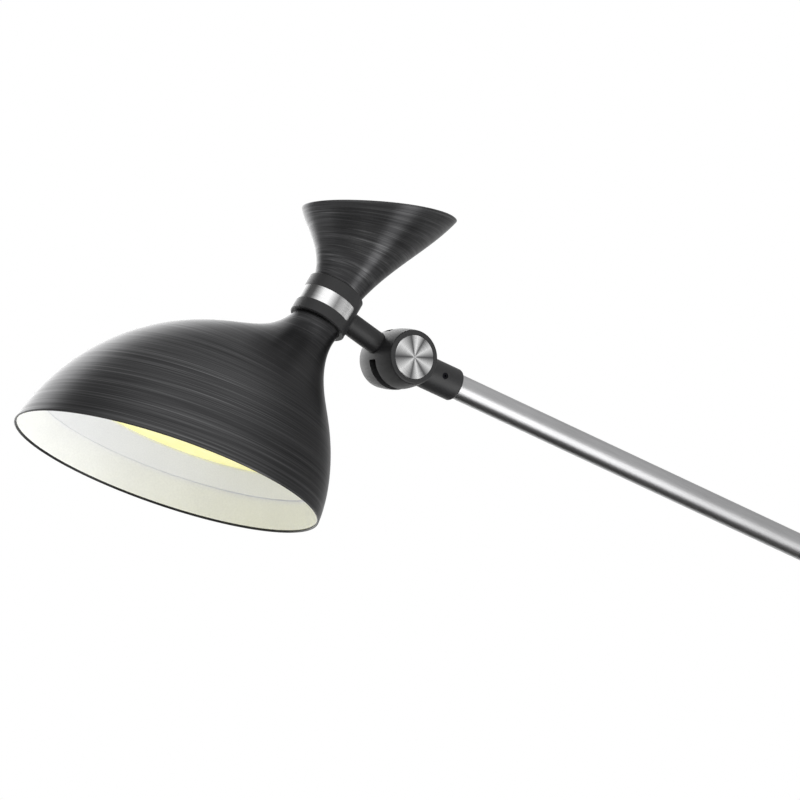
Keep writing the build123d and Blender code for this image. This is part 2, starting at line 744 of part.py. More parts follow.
def make_gland():
    """The flanged bushing round the supply lead's outlet."""
    high = base_r + gland_flange
    low = high - gland_length
    body = tube_between(gland_r, gland_bore_r, low, base_r)
    flange = tube_between(gland_flange_r, gland_bore_r, base_r + face_gap, high)
    flange = fillet(flange.edges().filter_by(GeomType.CIRCLE).sort_by(Axis.Z)[-1], 0.6)
    bridge = tube_between(gland_r, gland_bore_r, base_r - 1, base_r + 1)
    return Pos(0, 0, gland_z()) * ALONG_X * (body + bridge + flange)


def make_weight():
    """The cast disc, with pockets for the nut, the driver and the gland."""
    body = cylinder_between(base_r - base_wall - weight_gap, weight_low, weight_high)
    body = chamfer(body.edges().filter_by(GeomType.CIRCLE).sort_by(Axis.Z)[-1], 2.0)
    body += cylinder_between(weight_boss_r, weight_low, base_top - base_wall - face_gap)
    body -= Cylinder(stud_r + slide_gap, base_top * 4)
    body -= cylinder_between(nut_pocket_r, 0, nut_ceiling)
    width, depth, height = driver_size
    pocket = Box(width + 2.0, depth + 2.0, height + 1.0, align=FLOOR_UP)
    body -= Pos(driver_offset, 0, weight_high - height) * pocket
    channel = Box(base_r * 2, 2 * (gland_r + 1.0), weight_thickness * 2)
    return body - Pos(driver_offset + base_r, 0, weight_low + weight_thickness / 2) * channel


def make_pad():
    """The foam pad under the weight."""
    return cylinder_between(base_r - pad_inset, 0, pad_top)


def make_base_ferrule():
    """The sleeve round the mast's foot."""
    body = cylinder_between(ferrule_r, base_top + face_gap, base_top + base_ferrule_height)
    body = fillet(body.edges().sort_by(Axis.Z)[-1], edge_round)
    body -= cylinder_between(ferrule_bore_r, mast_foot - face_gap, base_height * 4)
    body -= cylinder_between(stud_r + slide_gap, 0, base_height * 4)
    return body - mast_set_screw_hole(base_top + base_screw_rise)


def make_stud():
    """The hollow stud that pulls the mast onto the base, with the plug that fills the mast's foot."""
    plug_r = mast_r - mast_wall - slide_gap
    low = weight_low + 1.0
    body = cylinder_between(stud_r, low, mast_foot + stud_grip)
    body += cylinder_between(plug_r, mast_foot + face_gap, mast_foot + stud_grip)
    return body - Cylinder(lead_r + 1.0, elbow_height)


def make_washer_and_nut():
    """The lock washer and the nut in the weight's pocket."""
    ceiling = nut_ceiling - face_gap
    washer = tube_between(lock_washer_r, stud_r + slide_gap, ceiling - lock_washer, ceiling)
    nut_low = ceiling - lock_washer - face_gap - nut_height
    nut = Pos(0, 0, nut_low) * hex_nut(nut_flats, stud_r + slide_gap, nut_height)
    return washer, nut


def make_driver():
    """The LED driver in the weight's pocket."""
    width, depth, height = driver_size
    case = Box(width, depth, height, align=FLOOR_UP)
    case = fillet(case.edges().filter_by(Axis.Z), 3.0)
    return Pos(driver_offset, 0, weight_high - height + face_gap) * case


# ---------------------------------------------------------------- arm pieces
def make_arm_tube():
    """The arm's tube, along +X from the elbow."""
    ends = sleeve_end - tube_socket + face_gap
    return ALONG_X * tube_between(arm_tube_r, arm_tube_r - arm_tube_wall, ends, arm_reach - ends)


def make_arm_lead():
    """The supply lead inside the arm."""
    ends = sleeve_end - tube_socket + 4.0
    return ALONG_X * cylinder_between(lead_r, ends, arm_reach - ends)


def make_mast_lead():
    """The supply lead inside the mast."""
    return cylinder_between(lead_r, mast_foot, mast_top - 4.0)


# ---------------------------------------------------------------- assembly
def build():
    """Every piece in its place, by node name."""
    yoke = make_yoke()
    knuckle = make_knuckle()
    bolt = make_pivot_bolt()
    spring_washer = make_spring_washer()
    lock_nut = make_lock_nut()
    caps = make_caps()
    frame = rim_frame(shade_front, shade_back)
    module_place = head_place * frame.location
    collar_end = collar_height / 2
    hole_r = nipple_r + slide_gap
    lower_shade = make_shade(shade_front, shade_back, shade_sections, -1, -collar_end, hole_r)
    upper_cone = make_shade(cone_front, cone_back, cone_sections, 1, collar_end, hole_r)
    pilot_holes = [
        Pos(x, 0, 0)
        * cylinder_between(module_screw_r + slide_gap, lens_height, sink_high + module_screw_length)
        for x in module_screw_places()
    ]
    heat_sink = make_heat_sink()
    bracket = head_place * make_bracket(frame)
    board = module_disc(board_r, board_low, board_low + board_thickness)
    for hole in pilot_holes:
        heat_sink -= hole
        bracket -= module_place * hole
        board -= hole
    board -= Pos(lens_shift, 0, 0) * Cylinder(lead_way_r * 2, sink_high * 3)
    lock_washer, mast_nut = make_washer_and_nut()
    pieces = {
        # head
        "lower_shade": head_place * lower_shade,
        "upper_cone": head_place * upper_cone,
        "collar": head_place * make_collar(),
        "accent_band": head_place * make_band(),
        "shade_nipple": head_place * make_nipple(),
        "shade_nut": head_place * make_nipple_nut(),
        "shade_spacer": head_place * make_spacer(),
        "cone_finial": head_place * make_finial(),
        "light_bezel": module_place * make_bezel(),
        "light_lens": module_place
        * module_disc(lens_r + lens_lip, lens_height + face_gap, lens_height + lens_thickness),
        "led_board": module_place * board,
        "led_chips": [module_place * chip for chip in make_chips()],
        "heat_sink": module_place * heat_sink,
        "module_bracket": bracket,
        "module_screws": [module_place * screw for screw in make_module_screws()],
        "head_stem": head_stem_place * make_head_stem(),
        "head_yoke": head_stem_place * yoke,
        "head_pivot_bolt": head_stem_place * bolt,
        "head_spring_washer": head_stem_place * spring_washer,
        "head_lock_nut": head_stem_place * lock_nut,
        "head_hinge_caps": [head_stem_place * cap for cap in caps],
        # arm
        "head_knuckle": head_arm_place * knuckle,
        "head_friction_washers": [head_arm_place * washer for washer in make_friction_washers()],
        "elbow_knuckle": elbow_arm_place * Rot(180, 0, 0) * knuckle,
        "elbow_friction_washers": [elbow_arm_place * washer for washer in make_friction_washers()],
        "arm_tube": elbow_arm_place * make_arm_tube(),
        "arm_lead": elbow_arm_place * make_arm_lead(),
        "arm_set_screws": [
            head_arm_place * make_set_screw(),
            elbow_arm_place * Rot(180, 0, 0) * make_set_screw(),
        ],
        # elbow
        "elbow_yoke": elbow_stem_place * yoke,
        "elbow_stem": elbow_stem_place * make_elbow_stem(),
        "elbow_pivot_bolt": elbow_stem_place * bolt,
        "elbow_spring_washer": elbow_stem_place * spring_washer,
        "elbow_lock_nut": elbow_stem_place * lock_nut,
        "elbow_hinge_caps": [elbow_stem_place * cap for cap in caps],
        "swivel_clip": elbow_stem_place * make_swivel_clip(),
        # mast and base
        "top_ferrule": make_top_ferrule(),
        "swivel_bush": make_bush(),
        "swivel_stop_screw": make_stop_screw(),
        "switch_button": make_button(),
        "switch_carrier": make_switch_carrier(),
        "mast_upper_tube": make_mast_tube(mast_join, mast_top),
        "mast_lower_tube": make_mast_tube(mast_foot, mast_join - face_gap),
        "mast_coupler": make_coupler(),
        "mast_lead": make_mast_lead(),
        "mast_set_screws": [
            mast_set_screw(ferrule_top - top_ferrule_length + ferrule_socket / 2),
            mast_set_screw(base_top + base_screw_rise),
        ],
        "base_ferrule": make_base_ferrule(),
        "base_cover": make_cover(),
        "base_weight": make_weight(),
        "base_pad": make_pad(),
        "mast_stud": make_stud(),
        "mast_lock_washer": lock_washer,
        "mast_nut": mast_nut,
        "led_driver": make_driver(),
        "cord_gland": make_gland(),
    }
    return pieces


def solids_of(piece):
    """All solids of one piece, or of a list of them."""
    if isinstance(piece, list):
        return [solid for item in piece for solid in item.solids()]
    return list(piece.solids())


os.makedirs("parts", exist_ok=True)
for name, piece in build().items():
    solids = solids_of(piece)
    export_step(solids[0] if len(solids) == 1 else Compound(solids), f"parts/{name}.step")
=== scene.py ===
"""Adjustable arm floor lamp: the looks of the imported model, laid out as a Blender add-on.

The shades, the hinge covers, the collar's inlay and the switch's button are made here so that their
brushing and turning follow their own surfaces. Every other piece keeps its own shape and takes a
procedural finish. Sizes are in millimetres where a name ends in _mm, and in metres elsewhere. The frame is
the lamp's own: +Z up, the arm towards -X, hinges about Y.
"""

import json
from math import atan2, cos, pi, radians, sin

import bmesh
import bpy
from bpy.props import FloatProperty, IntProperty, PointerProperty
from bpy.types import Operator, Panel, PropertyGroup
from mathutils import Matrix, Vector


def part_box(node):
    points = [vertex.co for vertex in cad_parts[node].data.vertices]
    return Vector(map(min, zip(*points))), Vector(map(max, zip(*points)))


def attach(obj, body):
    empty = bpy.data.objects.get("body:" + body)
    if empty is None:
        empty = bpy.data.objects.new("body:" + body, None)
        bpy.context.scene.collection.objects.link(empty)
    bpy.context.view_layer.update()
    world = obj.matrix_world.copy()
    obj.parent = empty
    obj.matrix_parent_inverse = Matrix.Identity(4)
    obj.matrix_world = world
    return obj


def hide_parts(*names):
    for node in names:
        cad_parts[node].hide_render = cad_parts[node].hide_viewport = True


bl_info = {
    "name": "Adjustable arm floor lamp",
    "version": (1, 0, 0),
    "blender": (4, 5, 0),
    "location": "3D View > Sidebar > Floor lamp",
    "description": "Builds a floor lamp's shades and hinge covers, its finishes and its studio",
    "category": "Add Mesh",
}

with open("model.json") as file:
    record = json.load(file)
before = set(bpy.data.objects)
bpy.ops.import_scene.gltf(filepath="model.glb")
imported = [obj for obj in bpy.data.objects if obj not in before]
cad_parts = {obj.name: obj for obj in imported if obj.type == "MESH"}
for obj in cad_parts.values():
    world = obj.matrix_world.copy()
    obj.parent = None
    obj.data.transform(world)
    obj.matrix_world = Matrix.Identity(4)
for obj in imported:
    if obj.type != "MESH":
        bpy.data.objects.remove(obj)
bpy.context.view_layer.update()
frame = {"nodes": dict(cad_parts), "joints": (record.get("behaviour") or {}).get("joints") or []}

MM = 0.001

# Outlines of the two shades in the head's own frame, as control points (x, z) of Bezier curves that run
# from the collar to the rim. The front is the side away from the arm.
SHADE_FRONT_MM = [
    (-15.2, -12.8),
    (-31.1, -57.9),
    (-76.5, -33.6),
    (-110.8, -99.4),
    (-123.0, -117.4),
    (-127.0, -164.6),
]
SHADE_BACK_MM = [(15.2, -12.8), (6.5, -37.9), (39.5, -75.2), (18.6, -55.0), (52.3, -85.6), (56.3, -125.5)]
CONE_FRONT_MM = [(-15.6, 12.8), (-20.5, 33.9), (-40.8, 41.0), (-42.7, 47.0)]
CONE_BACK_MM = [(15.6, 12.8), (21.9, 44.3), (36.2, 65.8), (41.3, 90.4)]
HEAD_LEAN = radians(33.0)  # of the collar's axis from upright, at rest
ARM_RISE = radians(19.7)  # of the arm from level, at rest


def middle(node):
    """The middle of a node's box."""
    low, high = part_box(node)
    return (Vector(low) + Vector(high)) / 2


def joint_place(name):
    """The point that a joint turns about."""
    return Vector(next(joint for joint in frame["joints"] if joint["name"] == name)["pos_m"])


HEAD_PLACE = Matrix.Translation(middle("collar")) @ Matrix.Rotation(HEAD_LEAN, 4, "Y")
HEAD_PIVOT = joint_place("head_tilt")
ELBOW_PIVOT = joint_place("arm_lift")


# ---------------------------------------------------------------- settings
class ShadeSettings(PropertyGroup):
    """Sizes of the two spun shades and of their brush strokes."""

    wall: FloatProperty(
        name="Wall", description="Thickness of the spun metal", default=1.2 * MM, unit="LENGTH"
    )
    around: IntProperty(name="Around", description="Number of faces around each shade", default=144)
    along: IntProperty(name="Along", description="Rings from the neck to the rim", default=150)
    stroke_mm: FloatProperty(name="Stroke", description="Width of a brush stroke in mm", default=0.5)


class TurnedSettings(PropertyGroup):
    """Sizes of the turned hinge covers."""

    radius: FloatProperty(
        name="Radius", description="Radius of a hinge cover", default=13.5 * MM, unit="LENGTH"
    )
    thickness: FloatProperty(
        name="Thickness", description="Thickness of a hinge cover", default=1.2 * MM, unit="LENGTH"
    )
    bevel: FloatProperty(
        name="Bevel", description="Width of the bright bevel", default=0.35 * MM, unit="LENGTH"
    )
    groove_mm: FloatProperty(name="Groove", description="Pitch of the turning marks in mm", default=0.35)


class StageSettings(PropertyGroup):
    """The camera and the studio."""

    azimuth: FloatProperty(
        name="Azimuth",
        description="Camera's angle round the lamp",
        default=radians(-31.554),
        subtype="ANGLE",
    )
    elevation: FloatProperty(
        name="Elevation",
        description="Camera's angle above the horizon",
        default=radians(-3.940),
        subtype="ANGLE",
    )
    distance: FloatProperty(
        name="Distance", description="Camera to the head's hinge", default=2.396, unit="LENGTH"
    )
    aim_right: FloatProperty(
        name="Aim right",
        description="How far right of the hinge the camera looks",
        default=1.05 * MM,
        unit="LENGTH",
    )
    aim_down: FloatProperty(
        name="Aim down",
        description="How far below the hinge the camera looks",
        default=24.75 * MM,
        unit="LENGTH",
    )
    lens: FloatProperty(name="Lens", description="Focal length in mm", default=178.0)
    room: FloatProperty(name="Room", description="Brightness of the grey surround", default=0.8)
    key: FloatProperty(
        name="Key", description="Brightness of the tall softbox behind the lamp", default=3.0
    )
    low: FloatProperty(name="Low", description="Power of the low softbox in front, in W", default=3.4)
    fill: FloatProperty(
        name="Fill", description="Power of the light into the shade's mouth, in W", default=5.0
    )


# ---------------------------------------------------------------- node helpers
def add(tree, kind, inputs=None, **settings):
    """Adds a node, with its settings, socket values and links, and returns it."""
    node = tree.nodes.new(kind)
    for name, value in settings.items():
        setattr(node, name, value)
    for key, value in (inputs or {}).items():
        if isinstance(value, bpy.types.NodeSocket):
            tree.links.new(value, node.inputs[key])
        else:
            node.inputs[key].default_value = value
    return node


def linear(hex_colour):
    """An sRGB hex colour such as "#2b2b2b" as linear RGBA."""
    parts = [int(hex_colour[i : i + 2], 16) / 255 for i in (1, 3, 5)]
    return [p / 12.92 if p <= 0.04045 else ((p + 0.055) / 1.055) ** 2.4 for p in parts] + [1.0]


def math(tree, operation, *values):
    """The output of a Math node."""
    return add(tree, "ShaderNodeMath", dict(enumerate(values)), operation=operation).outputs[0]


def between(tree, factor, low, high):
    """The output of a Map Range node that takes 0..1 to low..high."""
    return add(tree, "ShaderNodeMapRange", {"Value": factor, "To Min": low, "To Max": high}).outputs[0]


def ramp(tree, factor, *stops):
    """The colour of a ramp of (position, hex colour) stops."""
    node = add(tree, "ShaderNodeValToRGB", {"Fac": factor})
    elements = node.color_ramp.elements
    for element, (position, colour) in zip(elements, (stops[0], stops[-1])):
        element.position = position
        element.color = linear(colour)
    for position, colour in stops[1:-1]:
        elements.new(position).color = linear(colour)
    return node.outputs["Color"]


def noise(tree, vector, scale=1.0, detail=2.0, roughness=0.5):
    """The height of a Noise Texture."""
    inputs = {"Vector": vector, "Scale": scale, "Detail": detail, "Roughness": roughness}
    return add(tree, "ShaderNodeTexNoise", inputs).outputs[0]


def new_material(name):
    """An empty material with a Principled shader, as (material, tree, shader)."""
    material = bpy.data.materials.new(name)
    material.use_nodes = True
    tree = material.node_tree
    return material, tree, tree.nodes["Principled BSDF"]


def grain_coordinates(tree, size_mm, turn=(0.0, 0.0, 0.0), stretch=(1.0, 1.0, 1.0)):
    """Object coordinates in units of one grain, turned and then drawn out by stretch."""
    place = add(tree, "ShaderNodeTexCoord").outputs["Object"]
    turned = add(tree, "ShaderNodeMapping", {"Vector": place, "Rotation": turn}).outputs[0]
    scale = [1 / (size_mm * MM * s) for s in stretch]
    return add(tree, "ShaderNodeMapping", {"Vector": turned, "Scale": scale}).outputs[0]


def grained(
    name,
    dark,
    light,
    metallic,
    roughness,
    grain_mm,
    relief_mm,
    patch_mm=30.0,
    turn=(0.0, 0.0, 0.0),
    stretch=(1, 1, 1),
    **sockets,
):
    """A finish whose colour, gloss and relief vary from grain to grain, and slowly from patch to patch.

    roughness is (smoothest, roughest), and sockets are plain values for the shader's other inputs.
    """
    material, tree, shader = new_material(name)
    fine = noise(tree, grain_coordinates(tree, grain_mm, turn, stretch), detail=3.0, roughness=0.6)
    slow = noise(tree, grain_coordinates(tree, patch_mm), detail=2.0)
    mixed = math(tree, "ADD", math(tree, "MULTIPLY", fine, 0.65), math(tree, "MULTIPLY", slow, 0.35))
    tree.links.new(ramp(tree, mixed, (0.32, dark), (0.68, light)), shader.inputs["Base Color"])
    tree.links.new(between(tree, mixed, *roughness), shader.inputs["Roughness"])
    bump = add(tree, "ShaderNodeBump", {"Height": fine, "Distance": relief_mm * MM, "Strength": 1.0})
    tree.links.new(bump.outputs[0], shader.inputs["Normal"])
    shader.inputs["Metallic"].default_value = metallic
    for socket, value in sockets.items():
        shader.inputs[socket.replace("_", " ")].default_value = value
    return material


def along(turn):
    """The turn of a pattern so that its X lies along a piece that slopes by turn about Y."""
    return (0.0, -turn, 0.0)


def across_strokes(tree, shader, amount):
    """Draws the gloss out at right angles to strokes that run along the UV map's x."""
    tangent = add(tree, "ShaderNodeTangent", direction_type="UV_MAP", uv_map="UVMap")
    tree.links.new(tangent.outputs[0], shader.inputs["Tangent"])
    shader.inputs["Anisotropic"].default_value = amount
    shader.inputs["Anisotropic Rotation"].default_value = 0.25


# ---------------------------------------------------------------- finishes
def brushed_black_anodising(stroke_mm):
    """Spun aluminium, brushed round on the lathe and dyed black: long streaks, soft drawn-out gloss."""
    material, tree, shader = new_material("brushed_black_anodised_aluminium")
    uv = add(tree, "ShaderNodeUVMap", uv_map="UVMap").outputs[0]
    split = add(tree, "ShaderNodeSeparateXYZ", {"Vector": uv})
    angle = math(tree, "MULTIPLY", split.outputs["X"], 2 * pi)
    # The place round the shade is a circle in the noise's space, so that a stroke has no seam.
    across = math(tree, "COSINE", angle)
    deep = math(tree, "SINE", angle)
    layers = []
    # Each layer of strokes: its width, how often a stroke fades round the shade, and its share.
    for width_mm, length, weight in (
        (stroke_mm, 1.2, 0.45),
        (stroke_mm * 2.7, 0.8, 0.38),
        (stroke_mm * 9, 0.5, 0.17),
    ):
        down = math(tree, "MULTIPLY", split.outputs["Y"], 1 / (width_mm * MM))
        place = add(
            tree,
            "ShaderNodeCombineXYZ",
            {0: math(tree, "MULTIPLY", across, length), 1: math(tree, "MULTIPLY", deep, length), 2: down},
        )
        layers.append(math(tree, "MULTIPLY", noise(tree, place.outputs[0], detail=2.0), weight))
    strokes = math(tree, "ADD", math(tree, "ADD", layers[0], layers[1]), layers[2])
    colour = ramp(tree, strokes, (0.34, "#343435"), (0.5, "#454546"), (0.6, "#565657"), (0.68, "#727273"))
    tree.links.new(colour, shader.inputs["Base Color"])
    tree.links.new(between(tree, strokes, 0.42, 0.3), shader.inputs["Roughness"])
    bump = add(tree, "ShaderNodeBump", {"Height": strokes, "Distance": 0.02 * MM, "Strength": 0.5})
    tree.links.new(bump.outputs[0], shader.inputs["Normal"])
    across_strokes(tree, shader, 0.6)
    shader.inputs["Metallic"].default_value = 0.95
    shader.inputs["Specular Tint"].default_value = linear("#d8d8d8")
    return material


def bare_anodised_rim():
    """The shade's edge, black anodised but neither brushed nor enamelled."""
    return grained("bare_black_anodised_rim", "#151516", "#222223", 0.6, (0.3, 0.42), 0.6, 0.01)


def turned_aluminium(name, groove_mm, *painted_highlight_fan):
    """Aluminium finished on a lathe: fine circular grooves, with bands of painted highlight and painted
    shade in its colour.

    The UV map holds turns in x and millimetres across the grooves in y. The last argument is the painted
    tone at each turn, standing for the light that turning marks gather.
    """
    material, tree, shader = new_material(name)
    uv = add(tree, "ShaderNodeUVMap", uv_map="UVMap").outputs[0]
    split = add(tree, "ShaderNodeSeparateXYZ", {"Vector": uv})
    angle = math(tree, "MULTIPLY", split.outputs["X"], 2 * pi)
    ring = {0: math(tree, "COSINE", angle), 1: math(tree, "SINE", angle)}
    ring[2] = math(tree, "MULTIPLY", split.outputs["Y"], 1 / groove_mm)
    grooves = noise(tree, add(tree, "ShaderNodeCombineXYZ", ring).outputs[0], detail=2.0)
    waver = math(tree, "MULTIPLY_ADD", grooves, 0.012, -0.006)
    turn = math(tree, "FRACT", math(tree, "ADD", split.outputs["X"], waver))
    # Painted highlights and painted shade: the tone at each turn is painted into the base colour.
    colour = ramp(tree, turn, *painted_highlight_fan)
    shade = between(tree, grooves, 0.86, 1.14)
    toned = add(tree, "ShaderNodeVectorMath", {0: colour, "Scale": shade}, operation="SCALE").outputs[0]
    tree.links.new(toned, shader.inputs["Base Color"])
    tree.links.new(between(tree, grooves, 0.2, 0.32), shader.inputs["Roughness"])
    bump = add(tree, "ShaderNodeBump", {"Height": grooves, "Distance": 0.004 * MM, "Strength": 0.4})
    tree.links.new(bump.outputs[0], shader.inputs["Normal"])
    across_strokes(tree, shader, 0.7)
    shader.inputs["Metallic"].default_value = 1.0
    return material


def faced_aluminium(groove_mm):
    """Turned faces, with six spokes of painted shade and six of painted highlight in their colour."""
    dark, bright = "#5c5c5d", "#fafafa"
    # Painted spokes: the dark turns are painted shade, the bright turns painted highlight, with a pale
    # painted tone where the turns meet.
    painted_spokes = [(turn, dark) for turn in (0.09, 0.25, 0.405, 0.535, 0.75, 0.972)]
    painted_spokes += [(turn, bright) for turn in (0.03, 0.17, 0.33, 0.47, 0.64, 0.86)]
    seam = "#d0d0d0"
    return turned_aluminium("turned_aluminium", groove_mm, (0.0, seam), *sorted(painted_spokes), (1.0, seam))


def inlay_aluminium():
    """The collar's inlay, brushed round, with painted tones round it: grey at the front, and two painted
    white highlights before its near end.
    """
    # Painted highlights and painted shade round the inlay, as the tone at each turn.
    painted_highlight_fan = (
        (0.0, "#9a9a9a"),
        (0.2, "#e0e0e0"),
        (0.45, "#5a5a5a"),
        (0.575, "#727272"),
        (0.63, "#f4f4f4"),
        (0.67, "#ffffff"),
        (0.72, "#8c8c8c"),
        (0.765, "#d8d8d8"),
        (0.815, "#ffffff"),
        (0.845, "#848484"),
        (1.0, "#9a9a9a"),
    )
    return turned_aluminium("brushed_aluminium_inlay", 0.25, *painted_highlight_fan)


def satin_black_casting():
    """Die-cast zinc under satin black powder coat: near black, with a faint orange-peel relief."""
    return grained("satin_black_powder_coat", "#19191a", "#262627", 0.0, (0.4, 0.52), 0.7, 0.02)


def white_enamel():
    """White stoved enamel inside the shades: bright, slightly cool, with a soft gloss."""
    return grained("white_stoved_enamel", "#e1e2e6", "#ebecef", 0.0, (0.38, 0.5), 1.2, 0.012)


def white_reflector_plastic():
    """Moulded white polycarbonate: matt and bright, with a faint mould grain."""
    return grained("white_moulded_polycarbonate", "#e2e3e6", "#ecedef", 0.0, (0.5, 0.62), 0.8, 0.01)


def white_solder_mask():
    """The LED board's lacquered face: white, with a slight gloss."""
    return grained("white_solder_mask", "#dfe3e2", "#eef0ef", 0.0, (0.35, 0.45), 0.9, 0.01)


def phosphor_silicone():
    """The cast silicone over each LED, yellow with phosphor."""
    return grained("phosphor_silicone", "#e6c63a", "#f2da5c", 0.0, (0.3, 0.4), 0.5, 0.02)


def mill_aluminium():
    """Sheet aluminium as rolled: grey, with short rolling lines."""
    return grained(
        "mill_aluminium",
        "#a9abad",
        "#c6c8ca",
        1.0,
        (0.32, 0.46),
        0.4,
        0.01,
        patch_mm=20.0,
        turn=along(ARM_RISE),
        stretch=(20, 1, 1),
    )


def pvc_jacket():
    """The leads' matt black PVC."""
    return grained("matt_black_pvc_jacket", "#161616", "#232323", 0.0, (0.5, 0.62), 0.8, 0.02)


def zinc_plate():
    """Bright zinc-plated steel of screws, nuts and brackets."""
    return grained("zinc_plated_steel", "#9fa3a6", "#c3c7ca", 1.0, (0.26, 0.4), 0.5, 0.01)


def black_oxide():
    """Blackened steel of the set screws."""
    return grained("black_oxide_steel", "#17171a", "#26262a", 1.0, (0.34, 0.5), 0.4, 0.01)


def blued_spring():
    """Hardened and blued spring steel."""
    return grained("blued_spring_steel", "#43464c", "#5b5e64", 1.0, (0.28, 0.4), 0.4, 0.008)


def natural_nylon():
    """The friction washers' undyed nylon."""
    return grained("natural_nylon", "#cfcab8", "#ded9c9", 0.0, (0.42, 0.55), 0.6, 0.015)


def white_abs():
    """Moulded white ABS of the driver's case and the switch's carrier."""
    return grained("white_moulded_abs", "#dcdcda", "#eaeae8", 0.0, (0.4, 0.52), 0.8, 0.015)


def sintered_bronze():
    """The swivel bush's pressed and sintered bronze, with its open pores."""
    return grained("sintered_bronze", "#8a6a3a", "#b08c55", 1.0, (0.36, 0.5), 0.3, 0.015)


def textured_black_coat():
    """Fine-texture black powder coat on the base's cover."""
    return grained("fine_texture_black_powder_coat", "#1a1a1b", "#2b2b2c", 0.0, (0.44, 0.6), 0.9, 0.05)


def primed_iron():
    """The weight's sand-cast iron under grey primer."""
    return grained("cast_iron_primed", "#2c2c2d", "#444445", 0.3, (0.55, 0.75), 1.5, 0.12)


def eva_foam():
    """The pad's closed-cell black foam."""
    return grained("black_eva_foam", "#141414", "#202020", 0.0, (0.8, 0.95), 1.1, 0.08)


def black_nylon():
    """The cord bushing's moulded black nylon."""
    return grained("black_moulded_nylon", "#161617", "#222223", 0.0, (0.38, 0.5), 0.7, 0.02)


def satin_tube(name, turn=(0.0, 0.0, 0.0), stretch=(1, 1, 60)):
    """Drawn aluminium tube, satin anodised: pale, with hair lines along its length."""
    return grained(name, "#b4b4b5", "#cacacb", 1.0, (0.32, 0.4), 0.25, 0.006, 60.0, turn, stretch)


def opal_diffuser():
    """Opal acrylic lit from behind: an even, pale yellow glow with a faint mottle."""
    material, tree, shader = new_material("opal_acrylic_diffuser")
    mottle = noise(tree, grain_coordinates(tree, 9.0), detail=3.0)
    tint = ramp(tree, mottle, (0.3, "#f6f2a8"), (0.7, "#faf6b8"))
    tree.links.new(tint, shader.inputs["Base Color"])
    tree.links.new(tint, shader.inputs["Emission Color"])
    shader.inputs["Emission Strength"].default_value = 0.27
    shader.inputs["Roughness"].default_value = 0.45
    return material


def finish(node, material):
    """Gives a CAD node its material."""
    part = frame["nodes"][node]
    part.data.materials.clear()
    part.data.materials.append(material)


# ---------------------------------------------------------------- mesh helpers
def linked(name, data):
    """A new object in the scene."""
    item = bpy.data.objects.new(name, data)
    bpy.context.scene.collection.objects.link(item)
    return item


def new_piece(mesh, name, body, node):
    """A finished piece at the origin, riding on a body, standing for a CAD node."""
    piece = linked(name, mesh)
    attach(piece, body)
    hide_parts(node)


def smooth(mesh, angle=radians(32.0)):
    """Smooth shading, with edges sharper than angle kept sharp."""
    mesh.shade_smooth()
    mesh.set_sharp_from_angle(angle=angle)


def merged_copy(node, material):
    """A copy of a CAD node's mesh with its loose triangles joined up, in this material."""
    mesh = frame["nodes"][node].data.copy()
    mesh.materials.clear()
    mesh.materials.append(material)
    work = bmesh.new()
    work.from_mesh(mesh)
    bmesh.ops.remove_doubles(work, verts=work.verts, dist=1e-6)
    work.to_mesh(mesh)
    work.free()
    smooth(mesh)
    return mesh


def wrap_uv(mesh, centre, axis, start, flat=False):
    """A UV map of turns about an axis in x, and mm along the axis, or out from it if flat, in y."""
    axis = axis.normalized()
    start = (start - axis * start.dot(axis)).normalized()
    side = axis.cross(start)
    layer = mesh.uv_layers.get("UVMap") or mesh.uv_layers.new(name="UVMap")
    for face in mesh.polygons:
        corners = [mesh.vertices[mesh.loops[i].vertex_index].co - centre for i in face.loop_indices]
        turns = [atan2(c.dot(side), c.dot(start)) / (2 * pi) for c in corners]
        for i, corner, turn in zip(face.loop_indices, corners, turns):
            if turns[0] - turn > 0.5:
                turn += 1.0
            if turn - turns[0] > 0.5:
                turn -= 1.0
            height = corner.dot(axis)
            reach = (corner - axis * height).length
            layer.data[i].uv = (turn, (reach if flat else height) / MM)


# ---------------------------------------------------------------- shades
def mix_vectors(tree, factor, a, b):
    """The point part of the way from a to b."""
    span = add(tree, "ShaderNodeVectorMath", {0: b, 1: a}, operation="SUBTRACT").outputs[0]
    part = add(tree, "ShaderNodeVectorMath", {0: span, "Scale": factor}, operation="SCALE").outputs[0]
    return add(tree, "ShaderNodeVectorMath", {0: a, 1: part}, operation="ADD").outputs[0]


def bezier_point(tree, points_mm, t):
    """The point of a Bezier curve at t, by repeated mixing of neighbours."""
    level = [add(tree, "ShaderNodeCombineXYZ", {0: x * MM, 2: z * MM}).outputs[0] for x, z in points_mm]
    while len(level) > 1:
        level = [mix_vectors(tree, t, a, b) for a, b in zip(level[:-1], level[1:])]
    return level[0]


def geometry_tree(name, **sockets):
    """A geometry tree with these named inputs, as (tree, its inputs, its output node)."""
    tree = bpy.data.node_groups.new(name, "GeometryNodeTree")
    for label, kind in sockets.items():
        tree.interface.new_socket(label.replace("_", " "), in_out="INPUT", socket_type=kind)
    tree.interface.new_socket("Geometry", in_out="OUTPUT", socket_type="NodeSocketGeometry")
    return tree, add(tree, "NodeGroupInput").outputs, add(tree, "NodeGroupOutput")


def close_tree(tree, result, geometry, material):
    """Ends a tree in Realize Instances and Set Material."""
    real = add(tree, "GeometryNodeRealizeInstances", {"Geometry": geometry}).outputs[0]
    painted = add(tree, "GeometryNodeSetMaterial", {"Geometry": real, "Material": material}).outputs[0]
    tree.links.new(painted, result.inputs["Geometry"])


def plain_mesh(owner):
    """The mesh of an object with its modifiers applied. The object is removed."""
    depsgraph = bpy.context.evaluated_depsgraph_get()
    mesh = bpy.data.meshes.new_from_object(owner.evaluated_get(depsgraph), depsgraph=depsgraph)
    bpy.data.objects.remove(owner)
    return mesh


